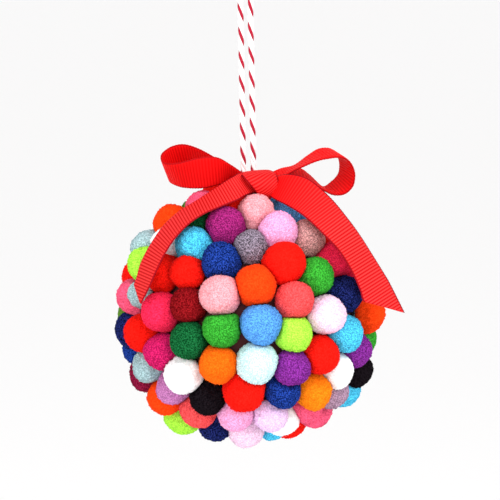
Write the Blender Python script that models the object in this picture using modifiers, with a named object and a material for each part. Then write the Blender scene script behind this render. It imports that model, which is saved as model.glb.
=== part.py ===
"""Hanging ornament: a ball covered in glued-on pompoms, with a grosgrain ribbon bow and a twine loop.

Metres, +Z up, X to the right in the photo, -Y towards the viewer. The origin is the inside top of
the twine loop, where a hook would carry the ornament; the ball hangs below it on the Z axis.
"""

import math

import bmesh
import bpy
import numpy as np
from mathutils import Vector

MM = 0.001

# Driving sizes of the real thing
BALL_RADIUS = 39.4 * MM       # over the pompoms
POMPOM_RADIUS = 5.4 * MM       # of those that do not show in the photo
PIT_RADIUS = 33.0 * MM        # how deep the gaps between pompoms go
BALL_DROP = 106.0 * MM        # from the inside top of the twine loop to the ball's centre
BALL_SIDESTEP = 1.3 * MM      # the twine leans this far left on its way up
RIBBON_WIDTH = 10.0 * MM
RIBBON_THICKNESS = 1.0 * MM
TWINE_RADIUS = 0.9 * MM
TWINE_LAY = 6.9 * MM          # length in which the plies turn once
SEAT_GAP = 0.3 * MM

CENTRE_RADIUS = BALL_RADIUS - POMPOM_RADIUS
BALL_CENTRE = np.array([BALL_SIDESTEP, 0.0, -BALL_DROP])

# The photo's view of the ball, which turns a place read in the photo into a place on the ornament
VIEW_DISTANCE = 0.55
VIEW_ELEVATION = math.radians(8.0)
METRES_PER_PIXEL = 0.2946 * MM
PHOTO_MIDDLE = 250.0           # column and row of the photo's own middle
BALL_COLUMN = 249.0
BALL_ROW = 313.0

# Pompoms that show in the photo: column, row, how far each stands proud of the others in mm,
# whether it sits on the near (1) or the far (-1) side of the ball's outline, and its radius in mm
SEEN_POMPOMS = (
    (205, 209.5, 0.5, 1, 5.4), (255, 213.5, 0.1, 1, 5.5), (233, 207, -0.6, 1, 5.4),
    (290, 212.5, -0.8, 1, 5.4), (171.5, 225, 0.8, 1, 5.6), (198, 214, -0.8, -1, 5.0),
    (201, 228, -0.8, 1, 5.4), (224, 225.5, 0.6, 1, 5.5), (278.5, 231, 0.8, 1, 5.5),
    (306, 237.5, 0.0, 1, 5.2), (251, 246.5, -0.4, 1, 4.8), (335, 240, 0.3, 1, 5.5),
    (150, 249.5, 0.8, 1, 5.6), (166, 246, -1.2, 1, 5.0), (193, 244, 0.5, 1, 5.2),
    (221.5, 261, 0.0, 1, 5.4), (284.5, 263, 0.9, 1, 5.9), (333.5, 261, -0.3, 1, 5.4),
    (147, 262, 0.5, 1, 5.4), (163, 273, -0.2, 1, 5.5), (186.5, 271.5, 0.2, 1, 4.8),
    (315, 276, -0.1, 1, 5.3), (343.5, 294, -0.1, 1, 5.4), (141, 276, 0.3, -1, 5.6),
    (135.5, 295, 0.3, 1, 5.2), (140.5, 293.5, -0.6, 1, 4.1), (160.5, 312, 0.5, 1, 5.5),
    (188, 304.5, -0.6, 1, 5.1), (220, 296, 1.0, 1, 5.6), (255, 285.5, 0.5, 1, 5.8),
    (295, 300.5, 0.4, 1, 5.2), (327, 315, 0.7, 1, 5.4), (366, 314.5, 0.6, 1, 5.5),
    (136.5, 313, 0.0, -1, 5.6), (132, 330.5, 0.3, 1, 5.5), (143, 333, 0.2, 1, 5.5),
    (163.5, 353.5, 0.2, 1, 5.2), (188.5, 340.5, 0.3, 1, 5.2), (221.5, 327.5, -0.2, 1, 5.3),
    (261.5, 324.5, 0.6, 1, 5.7), (293.5, 333.5, -0.1, 1, 5.2), (344, 333.5, 0.0, 1, 5.4),
    (358, 338, -0.8, -1, 5.4), (353, 350, 0.0, 1, 5.2), (141, 347, 0.0, -1, 5.5),
    (149.5, 367.5, 0.2, 1, 4.9), (148, 373.5, 0.5, -1, 5.5), (182, 374.5, 1.0, 1, 5.3),
    (217.5, 365, 0.9, 1, 5.3), (257, 364, 0.7, 1, 5.7), (293, 368.5, 0.7, 1, 5.1),
    (319.5, 355.5, 0.2, 1, 5.4), (335.5, 373.5, 0.2, 1, 5.1), (352.5, 371, 1.0, -1, 5.6),
    (344.5, 386, 1.8, -1, 5.5), (165.5, 395, 1.2, 1, 5.4), (172, 389, -0.2, 1, 4.9),
    (207.5, 397.5, -0.1, 1, 5.1), (244.5, 391.5, 0.4, 1, 5.8), (283.5, 389.5, -0.2, 1, 5.0),
    (315, 391.5, 0.5, 1, 5.3), (329.5, 390.5, 0.0, 1, 5.2), (184, 416, 1.8, -1, 5.5),
    (198, 409.5, -0.2, 1, 5.3), (235.5, 413.5, 0.2, 1, 5.1), (272, 415.5, 0.3, 1, 5.0),
    (307, 404.5, -0.8, 1, 5.1), (216, 423.5, 0.0, 1, 5.1), (248, 429, 0.5, 1, 5.2),
    (281, 418, -0.3, 1, 5.0), (288, 419.5, 0.3, -1, 5.5), (270, 421, -1.6, 1, 5.4),
)
SPACING = 10.4 * MM            # between neighbouring pompoms' centres
LOOSEST_SPACING = 8.3 * MM     # a gap this wide takes one more pompom
TOP_CLEARING = 9.5 * MM        # bare place at the top, where the twine and the bow sit
TRIAL_PLACES = 1500            # evenly spread places that the hidden pompoms are chosen from
SETTLING_STEPS = 90
SETTLING_RATE = 0.3            # share of an overlap that one step undoes
SEEN_FREEDOM = 0.01            # how freely a seen pompom moves, beside a hidden one's 1
HIDDEN_UNEVENNESS = 0.5        # how far hidden pompoms stand proud or sunk, in mm
NET_CUTS = 5                   # cuts on each line between two pompoms' middles

# Ribbon edges, station by station: column and row of the edge nearer the viewer, column and row of
# the edge farther off, how far the near edge stands towards the viewer, in mm from the ball's
# middle, and the share of its width that the ribbon keeps where the knot gathers it. The far edge's
# own depth follows from that width; below zero it turns towards the viewer instead.
LEFT_LOOP = (
    (252, 178, 252, 190, 10.5, 0.45),
    (236, 172, 237, 187, 11.0, 0.55),
    (217, 159, 220, 180, 10.5, 0.8),
    (199, 149, 204, 173, 9.0, 1.0),
    (184, 144.5, 190, 170, 7.0, 1.0),
    (172, 146.5, 179, 171, 7.5, 1.0),
    (163, 152.5, 171, 177, 10.0, 1.0),
    (161, 157.5, 170, 181, 12.5, 1.0),
    (165, 163, 173, 184, 15.0, 1.0),
    (178, 163, 184, 187.5, 17.5, 1.0),
    (199, 158, 203, 188, 19.0, 1.0),
    (217, 157.5, 219, 184.5, 19.0, 0.95),
    (231, 165, 232, 181.5, 15.5, 0.75),
    (248, 177, 248, 187, 13.0, 0.45),
)
RIGHT_LOOP = (
    (270, 184, 268, 174, 12.5, 0.45),
    (286, 176, 281, 168.5, 14.0, 0.65),
    (300, 168, 294, 165.5, 19.0, 0.95),
    (317, 161, 307, 156, 20.0, 1.0),
    (329, 158.5, 317, 149.5, 20.0, 1.0),
    (338, 157.5, 325, 148, 19.5, 1.0),
    (345, 158.5, 331, 149.5, 18.5, 1.0),
    (350.5, 163, 336.5, 154, 17.5, 1.0),
    (354, 169.5, 339, 160.5, 16.5, 1.0),
    (355, 177, 339.5, 167, 15.5, 1.0),
    (352.5, 187, 338, 174, 14.5, 1.0),
    (344, 194.3, 332, 181, 14.0, 1.0),
    (333, 194.5, 321.5, 186.5, 13.0, 1.0),
    (317, 187, 308, 174, 12.5, 0.95),
    (300, 181, 297, 168.5, 12.0, 0.75),
    (274, 186, 272, 176, 11.5, 0.45),
)
LEFT_TAIL = (
    (266, 192, 254, 176, 13.5, -0.6),
    (251, 192, 239, 173, 15.0, -0.7),
    (244, 194, 232.5, 176.5, 19.5, 0.64),
    (237, 200, 226, 181, 23.5, 0.82),
    (220, 207, 211, 191, 27.0, 0.95),
    (204, 214, 197, 200, 29.0, 1.0),
    (189, 224, 181, 210, 30.5, 1.0),
    (175.5, 238, 165, 224, 31.5, 1.0),
    (165, 254, 152, 242, 32.0, 1.0),
    (156, 272, 141, 262.5, 32.0, 1.0),
    (148.5, 290, 135.5, 279, 31.0, 1.0),
    (141, 304, 135, 284, 30.0, 1.0),
)
RIGHT_TAIL = (
    (264, 192.5, 268, 179, 12.5, 0.6),
    (275, 199.3, 284, 176, 18.6, -0.75),
    (288, 206, 299, 175.5, 22.0, 0.95),
    (305, 217, 324, 191, 26.5, 1.0),
    (325, 236, 348, 219, 29.5, 1.0),
    (339, 251, 365, 243, 30.0, 1.0),
    (351, 270, 379, 265, 29.5, 1.0),
    (360, 290, 390, 284, 28.5, 1.0),
    (363.5, 301.5, 404.5, 313, 27.5, 1.0),
)
STEPS_BETWEEN_STATIONS = 4

# The knot: its middle in the photo, its depth towards the viewer, and its half sizes
KNOT_COLUMN = 263.0
KNOT_ROW = 183.0
KNOT_DEPTH = 11.7 * MM
KNOT_HALF_WIDTH = 4.6 * MM
KNOT_HALF_HEIGHT = 3.7 * MM
KNOT_HALF_DEPTH = 5.0 * MM
KNOT_LEAN = math.radians(9.0)
KNOT_FLARE = 0.06              # its ends are this share fatter than its waist

# Twine: half the distance between its strands at the ball and above, and the eye it hangs by
STRAND_SPREAD_LOW = 1.15 * MM
STRAND_SPREAD = 1.45 * MM
EYE_RADIUS = 3.8 * MM
EYE_LENGTH = 14.0 * MM
TWIST_STEPS = 6                # steps in one turn of the plies
PLIES = 3

POMPOM_COLOUR = (0.72, 0.10, 0.16, 1.0)
RIBBON_COLOUR = (0.80, 0.01, 0.02, 1.0)
TWINE_COLOUR = (0.86, 0.82, 0.80, 1.0)


def view_axes():
    """Return the photo's right, up and towards-the-viewer directions."""
    rise, run = math.sin(VIEW_ELEVATION), math.cos(VIEW_ELEVATION)
    return np.array([1.0, 0.0, 0.0]), np.array([0.0, rise, run]), np.array([0.0, -run, rise])


def photo_ray(column, row):
    """Return the viewer's place and the direction through a pixel, measured from the ball's centre."""
    right, up, towards = view_axes()
    aim = (right * (PHOTO_MIDDLE - BALL_COLUMN) + up * (BALL_ROW - PHOTO_MIDDLE)) * METRES_PER_PIXEL
    across = (column - PHOTO_MIDDLE) * METRES_PER_PIXEL
    above = (PHOTO_MIDDLE - row) * METRES_PER_PIXEL
    direction = right * across + up * above - towards * VIEW_DISTANCE
    return aim + towards * VIEW_DISTANCE, direction / np.linalg.norm(direction)


def at_depth(column, row, depth):
    """Return the place behind a pixel that stands this far towards the viewer."""
    viewer, direction = photo_ray(column, row)
    towards = view_axes()[2]
    travel = (depth - viewer @ towards) / (direction @ towards)
    return viewer + direction * travel


def at_reach(column, row, start, reach):
    """Return the place behind a pixel that lies this far beyond, or before, the near edge's place."""
    viewer, direction = photo_ray(column, row)
    along = direction @ (start - viewer)
    foot = viewer + direction * along
    short = reach ** 2 - np.sum((foot - start) ** 2)
    return foot + direction * math.copysign(math.sqrt(max(short, 0.0)), reach)


def seen_direction(column, row, proud, side, _radius):
    """Return the direction from the ball's centre to a pompom seen at this pixel."""
    viewer, direction = photo_ray(column, row)
    along = direction @ viewer
    inside = along ** 2 - (viewer @ viewer - (CENTRE_RADIUS + proud * MM) ** 2)
    place = viewer + direction * (-along - side * math.sqrt(max(inside, 0.0)))
    return place / np.linalg.norm(place)


def even_directions(count):
    """Return directions spread evenly over a sphere along a golden-angle spiral."""
    index = np.arange(count)
    height = 1.0 - (2.0 * index + 1.0) / count
    turn = index * math.pi * (3.0 - math.sqrt(5.0))
    width = np.sqrt(1.0 - height ** 2)
    return np.stack([width * np.cos(turn), width * np.sin(turn), height], axis=1)


def pompom_layout():
    """Return each pompom's direction from the ball's centre, how far it stands proud and its radius.

    The seen pompoms are placed first. Each further one goes into the widest gap left, and then
    all push their neighbours to arm's length, the seen ones hardly moving.
    """
    seen = np.array([seen_direction(*row) for row in SEEN_POMPOMS])
    candidates = even_directions(TRIAL_PLACES)
    bare = np.hypot(candidates[:, 0], candidates[:, 1]) * CENTRE_RADIUS < TOP_CLEARING
    candidates = candidates[~(bare & (candidates[:, 2] > 0.0))]
    chosen = list(seen)
    nearest = np.linalg.norm(candidates[:, None] - seen[None], axis=2).min(axis=1)
    while nearest.max() * CENTRE_RADIUS > LOOSEST_SPACING:
        best = candidates[nearest.argmax()]
        chosen.append(best)
        nearest = np.minimum(nearest, np.linalg.norm(candidates - best, axis=1))
    places = np.array(chosen)
    freedom = np.ones(len(places))
    freedom[:len(seen)] = SEEN_FREEDOM
    for _ in range(SETTLING_STEPS):
        apart = places[:, None] - places[None]
        distance = np.linalg.norm(apart, axis=2) * CENTRE_RADIUS
        np.fill_diagonal(distance, 1.0)
        push = np.clip(SPACING - distance, 0.0, None) / CENTRE_RADIUS
        shift = (apart / distance[..., None] * CENTRE_RADIUS * push[..., None]).sum(axis=1)
        places = places + shift * freedom[:, None] * SETTLING_RATE
        edge = np.hypot(places[:, 0], places[:, 1])
        inside = (edge * CENTRE_RADIUS < TOP_CLEARING) & (places[:, 2] > 0.0)
        places[inside, :2] *= (TOP_CLEARING / CENTRE_RADIUS / edge[inside])[:, None]
        places /= np.linalg.norm(places, axis=1)[:, None]
    seen_proud = [row[2] for row in SEEN_POMPOMS]
    hidden_proud = HIDDEN_UNEVENNESS * np.sin(7.0 * np.arange(len(places) - len(seen)))
    radii = np.full(len(places), POMPOM_RADIUS)
    radii[:len(seen)] = [row[4] * MM for row in SEEN_POMPOMS]
    return places, np.concatenate([seen_proud, hidden_proud]) * MM, radii


def smooth_curve(points, steps):
    """Return a smooth curve through the points, with the given number of steps between two."""
    points = np.array(points, dtype=float)
    first = 2.0 * points[0] - points[1]
    last = 2.0 * points[-1] - points[-2]
    padded = np.vstack([first, points, last])
    curve = []
    for index in range(1, len(padded) - 2):
        before, start, end, after = padded[index - 1:index + 3]
        for step in range(steps):
            share = step / steps
            curve.append(0.5 * (2.0 * start + (end - before) * share
                                + (2.0 * before - 5.0 * start + 4.0 * end - after) * share ** 2
                                + (3.0 * start - before - 3.0 * end + after) * share ** 3))
    curve.append(padded[-2])
    return np.array(curve)


def ribbon_edges(stations):
    """Return the near and far edge curves of a stretch of ribbon, from the ball's centre."""
    near, far = [], []
    for near_column, near_row, far_column, far_row, depth, kept_width in stations:
        start = at_depth(near_column, near_row, depth * MM)
        near.append(start)
        far.append(at_reach(far_column, far_row, start, RIBBON_WIDTH * kept_width))
    return (smooth_curve(near, STEPS_BETWEEN_STATIONS), smooth_curve(far, STEPS_BETWEEN_STATIONS))


def new_object(name, mesh, collection, colour, roughness):
    """Put a mesh in the scene under its name, with a material of its own."""
    material = bpy.data.materials.new(name + "_finish")
    material.use_nodes = True
    shader = material.node_tree.nodes["Principled BSDF"]
    shader.inputs["Base Color"].default_value = colour
    shader.inputs["Roughness"].default_value = roughness
    shader.inputs["Metallic"].default_value = 0.0
    mesh.materials.append(material)
    piece = bpy.data.objects.new(name, mesh)
    collection.objects.link(piece)
    return piece


def make_pompom_ball(collection):
    """Build the ball: a triangle net over the pompoms' middles, raised to each one's round form."""
    places, proud, radii = pompom_layout()
    net = bmesh.new()
    for place in places:
        net.verts.new(place)
    bmesh.ops.convex_hull(net, input=net.verts[:])
    bmesh.ops.subdivide_edges(net, edges=net.edges[:], cuts=NET_CUTS, use_grid_fill=True)
    bmesh.ops.triangulate(net, faces=net.faces[:])
    centres = places * (CENTRE_RADIUS + proud)[:, None]
    reach = np.linalg.norm(centres, axis=1)
    for vertex in net.verts:
        direction = np.array(vertex.co.normalized())
        along = centres @ direction
        inside = radii ** 2 - (reach ** 2 - along ** 2)
        height = np.where(inside > 0.0, along + np.sqrt(np.clip(inside, 0.0, None)), 0.0).max()
        vertex.co = Vector(direction * max(height, PIT_RADIUS) + BALL_CENTRE)
    bmesh.ops.recalc_face_normals(net, faces=net.faces[:])
    mesh = bpy.data.meshes.new("pompom_ball")
    net.to_mesh(mesh)
    net.free()
    mesh.shade_smooth()
    return new_object("pompom_ball", mesh, collection, POMPOM_COLOUR, 0.95)


def make_ribbon(name, stations, collection):
    """Build one stretch of ribbon as a thin solid between its two edges."""
    near, far = ribbon_edges(stations)
    count = len(near)
    rows = np.stack([near, (near + far) / 2.0, far], axis=1).reshape(-1, 3) + BALL_CENTRE
    faces = []
    for index in range(count - 1):
        for side in range(2):
            corner = 3 * index + side
            faces.append((corner, corner + 1, corner + 4, corner + 3))
    mesh = bpy.data.meshes.new(name)
    mesh.from_pydata(rows.tolist(), [], faces)
    piece = new_object(name, mesh, collection, RIBBON_COLOUR, 0.45)
    solid = piece.modifiers.new("thickness", "SOLIDIFY")
    solid.thickness = RIBBON_THICKNESS
    solid.offset = 0.0
    solid.use_even_offset = False
    piece.hide_render = True
    piece.display_type = "WIRE"
    return piece


def make_bow(collection, stretches):
    """Build the bow as one solid: the knot, with the loops and tails joined into it."""
    knot_form = bmesh.new()
    bmesh.ops.create_uvsphere(knot_form, u_segments=24, v_segments=14, radius=1.0)
    right, up, towards = view_axes()
    middle = at_depth(KNOT_COLUMN, KNOT_ROW, KNOT_DEPTH)
    across = right * math.cos(KNOT_LEAN) + up * math.sin(KNOT_LEAN)
    rise = up * math.cos(KNOT_LEAN) - right * math.sin(KNOT_LEAN)
    for vertex in knot_form.verts:
        # The sphere's own axis runs across the bow, so its rings go round the wrapped ribbon
        end, tall, deep = vertex.co.z, vertex.co.x, vertex.co.y
        square_end = math.copysign(abs(end) ** 0.55, end)
        fat = (1.0 - end ** 2) ** -0.25 if abs(end) < 0.97 else 1.0
        flare = 1.0 + KNOT_FLARE * square_end ** 2
        place = (across * square_end * KNOT_HALF_WIDTH
                 + rise * tall * fat * flare * KNOT_HALF_HEIGHT
                 + towards * deep * fat * flare * KNOT_HALF_DEPTH)
        vertex.co = Vector(middle + place + BALL_CENTRE)
    bmesh.ops.recalc_face_normals(knot_form, faces=knot_form.faces[:])
    mesh = bpy.data.meshes.new("ribbon_bow")
    knot_form.to_mesh(mesh)
    knot_form.free()
    bow = new_object("ribbon_bow", mesh, collection, RIBBON_COLOUR, 0.45)
    for stretch in stretches:
        join = bow.modifiers.new("join_" + stretch.name, "BOOLEAN")
        join.operation = "UNION"
        join.solver = "EXACT"
        join.use_self = True
        join.object = stretch
    return bow


def twine_route():
    """Return the twine's middle line: up one strand, round the eye and down the other."""
    foot = -BALL_DROP + PIT_RADIUS + SEAT_GAP
    eye_middle = -(EYE_RADIUS - TWINE_RADIUS)
    throat = eye_middle - EYE_LENGTH

    def middle_x(height):
        return BALL_SIDESTEP * height / foot

    side = [(STRAND_SPREAD_LOW, foot)]
    for share in (0.16, 0.4, 0.7, 1.0):
        side.append((STRAND_SPREAD, foot + (throat - foot) * share))
    side.append((0.55 * EYE_RADIUS, throat + 0.33 * EYE_LENGTH))
    side.append((0.86 * EYE_RADIUS, throat + 0.66 * EYE_LENGTH))
    for angle in (0.0, 30.0, 60.0):
        turn = math.radians(angle)
        side.append((EYE_RADIUS * math.cos(turn), eye_middle + EYE_RADIUS * math.sin(turn)))
    left = [(middle_x(height) - spread, 0.0, height) for spread, height in side]
    crown = [(middle_x(eye_middle + EYE_RADIUS), 0.0, eye_middle + EYE_RADIUS)]
    right = [(middle_x(height) + spread, 0.0, height) for spread, height in reversed(side)]
    return left + crown + right


def make_twine(collection, guides):
    """Build the twine: a three-lobed section that turns as it follows the route."""
    smooth = smooth_curve(twine_route(), 40)
    run = np.concatenate([[0.0], np.cumsum(np.linalg.norm(np.diff(smooth, axis=0), axis=1))])
    steps = int(round(run[-1] / (TWINE_LAY / TWIST_STEPS)))
    stops = np.linspace(0.0, run[-1], steps + 1)
    points = np.stack([np.interp(stops, run, smooth[:, axis]) for axis in range(3)], axis=1)
    section = bpy.data.curves.new("twine_section", "CURVE")
    outline = section.splines.new("POLY")
    outline.points.add(2 * PLIES - 1)
    for index, point in enumerate(outline.points):
        radius = TWINE_RADIUS * (1.06 if index % 2 == 0 else 0.86)
        angle = -index * math.pi / PLIES
        point.co = (radius * math.cos(angle), radius * math.sin(angle), 0.0, 1.0)
    outline.use_cyclic_u = True
    guide = bpy.data.objects.new("twine_section", section)
    guide.hide_render = True
    guide.display_type = "WIRE"
    guides.objects.link(guide)
    curve = bpy.data.curves.new("twine", "CURVE")
    curve.dimensions = "3D"
    curve.bevel_mode = "OBJECT"
    curve.bevel_object = guide
    curve.use_fill_caps = True
    line = curve.splines.new("POLY")
    line.points.add(len(points) - 1)
    for index, point in enumerate(line.points):
        point.co = (*points[index], 1.0)
        point.tilt = -stops[index] / TWINE_LAY * 2.0 * math.pi
    return new_object("twine", curve, collection, TWINE_COLOUR, 0.85)


def main():
    """Clear the scene and build the ornament."""
    for leftover in list(bpy.data.objects):
        bpy.data.objects.remove(leftover, do_unlink=True)
    ornament = bpy.data.collections.new("pompom_ball_ornament")
    guides = bpy.data.collections.new("guides")
    bpy.context.scene.collection.children.link(ornament)
    bpy.context.scene.collection.children.link(guides)
    make_pompom_ball(ornament)
    stretches = [make_ribbon("left_loop", LEFT_LOOP, guides),
                 make_ribbon("right_loop", RIGHT_LOOP, guides),
                 make_ribbon("left_tail", LEFT_TAIL, guides),
                 make_ribbon("right_tail", RIGHT_TAIL, guides)]
    make_bow(ornament, stretches)
    make_twine(ornament, guides)


main()
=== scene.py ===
"""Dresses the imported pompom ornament: pile pompoms, a grosgrain ribbon bow and a twine loop.

Metres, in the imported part's own frame: the origin is the inside top of the twine loop, where a hook
would carry it, +Z is up, +X is the photo's right and -Y is towards the photo's viewer.
"""
import math

import bmesh
import bpy
import numpy as np
from bpy.props import FloatProperty, FloatVectorProperty, IntProperty, PointerProperty
from bpy.types import Operator, Panel, PropertyGroup
from mathutils import Matrix, Vector


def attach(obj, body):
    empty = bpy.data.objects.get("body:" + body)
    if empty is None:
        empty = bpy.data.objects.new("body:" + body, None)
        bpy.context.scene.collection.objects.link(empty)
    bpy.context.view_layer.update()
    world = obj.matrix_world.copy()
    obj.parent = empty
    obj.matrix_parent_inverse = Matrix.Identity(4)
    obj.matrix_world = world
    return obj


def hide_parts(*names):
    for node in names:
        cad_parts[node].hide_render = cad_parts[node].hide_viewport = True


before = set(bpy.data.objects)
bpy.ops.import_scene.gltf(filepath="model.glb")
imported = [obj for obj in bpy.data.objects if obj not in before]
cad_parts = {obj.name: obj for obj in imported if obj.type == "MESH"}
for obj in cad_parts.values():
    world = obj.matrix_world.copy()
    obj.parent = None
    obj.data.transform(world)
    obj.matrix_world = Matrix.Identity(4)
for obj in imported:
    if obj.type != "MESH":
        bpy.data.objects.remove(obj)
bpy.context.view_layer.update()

bl_info = {
    "name": "Pompom ball ornament",
    "version": (1, 0, 0),
    "blender": (4, 5, 0),
    "location": "3D View > Sidebar > Ornament",
    "description": "Adds a hanging ball of craft pompoms with a ribbon bow and a twine loop",
    "category": "Add Mesh",
}

MM = 0.001

# The ornament's lay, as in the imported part
PIT_RADIUS = 33.0 * MM
BALL_DROP = 106.0 * MM
BALL_SIDESTEP = 1.3 * MM
SEAT_GAP = 0.3 * MM
POMPOM_SEAT = 34.0 * MM        # the pompoms' middles lie this far from the ball's middle
CORE_RADIUS = 30.6 * MM
CORE_RINGS = 30
CORE_SIDES = 48
BALL_CENTRE = np.array([BALL_SIDESTEP, 0.0, -BALL_DROP])

# The photo's view, which turns a place read in the photo into a place on the ornament
VIEW_DISTANCE = 0.55
VIEW_ELEVATION = math.radians(8.0)
METRES_PER_PIXEL = 0.2946 * MM
PHOTO_PIXELS = 500.0
PHOTO_MIDDLE = 250.0
BALL_COLUMN = 249.0
BALL_ROW = 313.0
SENSOR_WIDTH = 36.0

# Pompoms that show in the photo: column, row, how far each stands proud in mm, whether it is on the
# near (1) or the far (-1) side of the ball's outline, its radius in mm, and its yarn
SEEN_POMPOMS = (
    (205, 209.5, 0.5, 1, 5.4, "rose"), (255, 213.5, 0.1, 1, 5.5, "salmon"),
    (233, 207, -0.6, 1, 5.4, "red"), (290, 212.5, -0.8, 1, 5.4, "steel"),
    (171.5, 225, 0.8, 1, 5.6, "orange_red"), (198, 214, -0.8, -1, 5.0, "olive"),
    (201, 228, -0.8, 1, 5.4, "pine"), (224, 225.5, 0.6, 1, 5.5, "plum"),
    (278.5, 231, 0.8, 1, 5.5, "pink"), (306, 237.5, 0.0, 1, 5.2, "taupe"),
    (251, 246.5, -0.4, 1, 4.8, "grey"), (335, 240, 0.3, 1, 5.5, "red"),
    (150, 249.5, 0.8, 1, 5.6, "mist"), (166, 246, -1.2, 1, 5.0, "white"),
    (193, 244, 0.5, 1, 5.2, "sky"), (221.5, 261, 0.0, 1, 5.4, "royal"),
    (284.5, 263, 0.9, 1, 5.9, "red"), (333.5, 261, -0.3, 1, 5.4, "crimson"),
    (147, 262, 0.5, 1, 5.4, "lime"), (163, 273, -0.2, 1, 5.5, "red"),
    (186.5, 271.5, 0.2, 1, 4.8, "red"), (315, 276, -0.1, 1, 5.3, "green"),
    (343.5, 294, -0.1, 1, 5.4, "navy"), (141, 276, 0.3, -1, 5.6, "red"),
    (135.5, 295, 0.3, 1, 5.2, "rose"), (140.5, 293.5, -0.6, 1, 4.1, "mist"),
    (160.5, 312, 0.5, 1, 5.5, "crimson"), (188, 304.5, -0.6, 1, 5.1, "maroon"),
    (220, 296, 1.0, 1, 5.6, "salmon"), (255, 285.5, 0.5, 1, 5.8, "orange_red"),
    (295, 300.5, 0.4, 1, 5.2, "coral"), (327, 315, 0.7, 1, 5.4, "blush"),
    (366, 314.5, 0.6, 1, 5.5, "orange_red"), (136.5, 313, 0.0, -1, 5.6, "olive"),
    (132, 330.5, 0.3, 1, 5.5, "navy"), (143, 333, 0.2, 1, 5.5, "red"),
    (163.5, 353.5, 0.2, 1, 5.2, "magenta"), (188.5, 340.5, 0.3, 1, 5.2, "pine"),
    (221.5, 327.5, -0.2, 1, 5.3, "green"), (261.5, 324.5, 0.6, 1, 5.7, "cornflower"),
    (293.5, 333.5, -0.1, 1, 5.2, "lime"), (344, 333.5, 0.0, 1, 5.4, "sky"),
    (358, 338, -0.8, -1, 5.4, "green"), (353, 350, 0.0, 1, 5.2, "violet"),
    (141, 347, 0.0, -1, 5.5, "royal"), (149.5, 367.5, 0.2, 1, 4.9, "mist"),
    (148, 373.5, 0.5, -1, 5.5, "wine"), (182, 374.5, 1.0, 1, 5.3, "white"),
    (217.5, 365, 0.9, 1, 5.3, "orange"), (257, 364, 0.7, 1, 5.7, "ice"),
    (293, 368.5, 0.7, 1, 5.1, "violet"), (319.5, 355.5, 0.2, 1, 5.4, "red"),
    (335.5, 373.5, 0.2, 1, 5.1, "white"), (352.5, 371, 1.0, -1, 5.6, "black"),
    (344.5, 386, 1.8, -1, 5.5, "sky"), (165.5, 395, 1.2, 1, 5.4, "orange_red"),
    (172, 389, -0.2, 1, 4.9, "orchid"), (207.5, 397.5, -0.1, 1, 5.1, "black"),
    (244.5, 391.5, 0.4, 1, 5.8, "red"), (283.5, 389.5, -0.2, 1, 5.0, "royal"),
    (315, 391.5, 0.5, 1, 5.3, "amber"), (329.5, 390.5, 0.0, 1, 5.2, "mauve"),
    (184, 416, 1.8, -1, 5.5, "lime"), (198, 409.5, -0.2, 1, 5.3, "coral"),
    (235.5, 413.5, 0.2, 1, 5.1, "pink"), (272, 415.5, 0.3, 1, 5.0, "lilac"),
    (307, 404.5, -0.8, 1, 5.1, "rose"), (216, 423.5, 0.0, 1, 5.1, "navy"),
    (248, 429, 0.5, 1, 5.2, "blush"), (281, 418, -0.3, 1, 5.0, "white"),
    (288, 419.5, 0.3, -1, 5.5, "red"), (270, 421, -1.6, 1, 5.4, "sky"),
)
# Yarns: red, green and blue as seen, 0 to 255, and how strongly the painted highlight on the fibre
# ends and the painted shade between the fibres part from it
YARNS = {
    "red": (240, 22, 12, 0.22),
    "orange_red": (248, 62, 12, 0.18),
    "orange": (250, 96, 12, 0.18),
    "amber": (248, 122, 16, 0.18),
    "coral": (238, 74, 76, 0.26),
    "rose": (238, 82, 116, 0.24),
    "crimson": (238, 36, 74, 0.26),
    "wine": (122, 12, 50, 0.45),
    "maroon": (122, 6, 14, 0.40),
    "magenta": (188, 24, 90, 0.32),
    "plum": (146, 30, 104, 0.40),
    "violet": (120, 38, 134, 0.40),
    "orchid": (182, 114, 168, 0.24),
    "lilac": (226, 192, 232, 0.16),
    "salmon": (250, 154, 162, 0.22),
    "pink": (244, 156, 200, 0.22),
    "blush": (242, 200, 224, 0.16),
    "white": (246, 246, 248, 0.10),
    "ice": (194, 230, 236, 0.22),
    "mist": (152, 180, 184, 0.26),
    "sky": (70, 182, 228, 0.32),
    "cornflower": (80, 146, 224, 0.32),
    "royal": (17, 48, 126, 0.60),
    "navy": (14, 26, 84, 0.70),
    "steel": (84, 152, 212, 0.38),
    "green": (48, 148, 42, 0.34),
    "pine": (8, 86, 42, 0.50),
    "lime": (160, 236, 66, 0.24),
    "olive": (84, 124, 40, 0.35),
    "grey": (120, 108, 122, 0.55),
    "taupe": (190, 138, 136, 0.36),
    "mauve": (156, 126, 148, 0.30),
    "black": (12, 5, 11, 0.4),
}
# The yarns of the pompoms that the photo doesn't show, taken in this order over and over
HIDDEN_YARNS = (
    "red", "sky", "white", "pink", "orange", "violet", "green", "salmon", "royal", "lime",
    "coral", "ice", "magenta", "orange_red", "grey", "cornflower", "red", "black", "lilac",
    "pine", "rose", "navy", "crimson", "taupe", "mist", "plum", "maroon",
)
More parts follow.
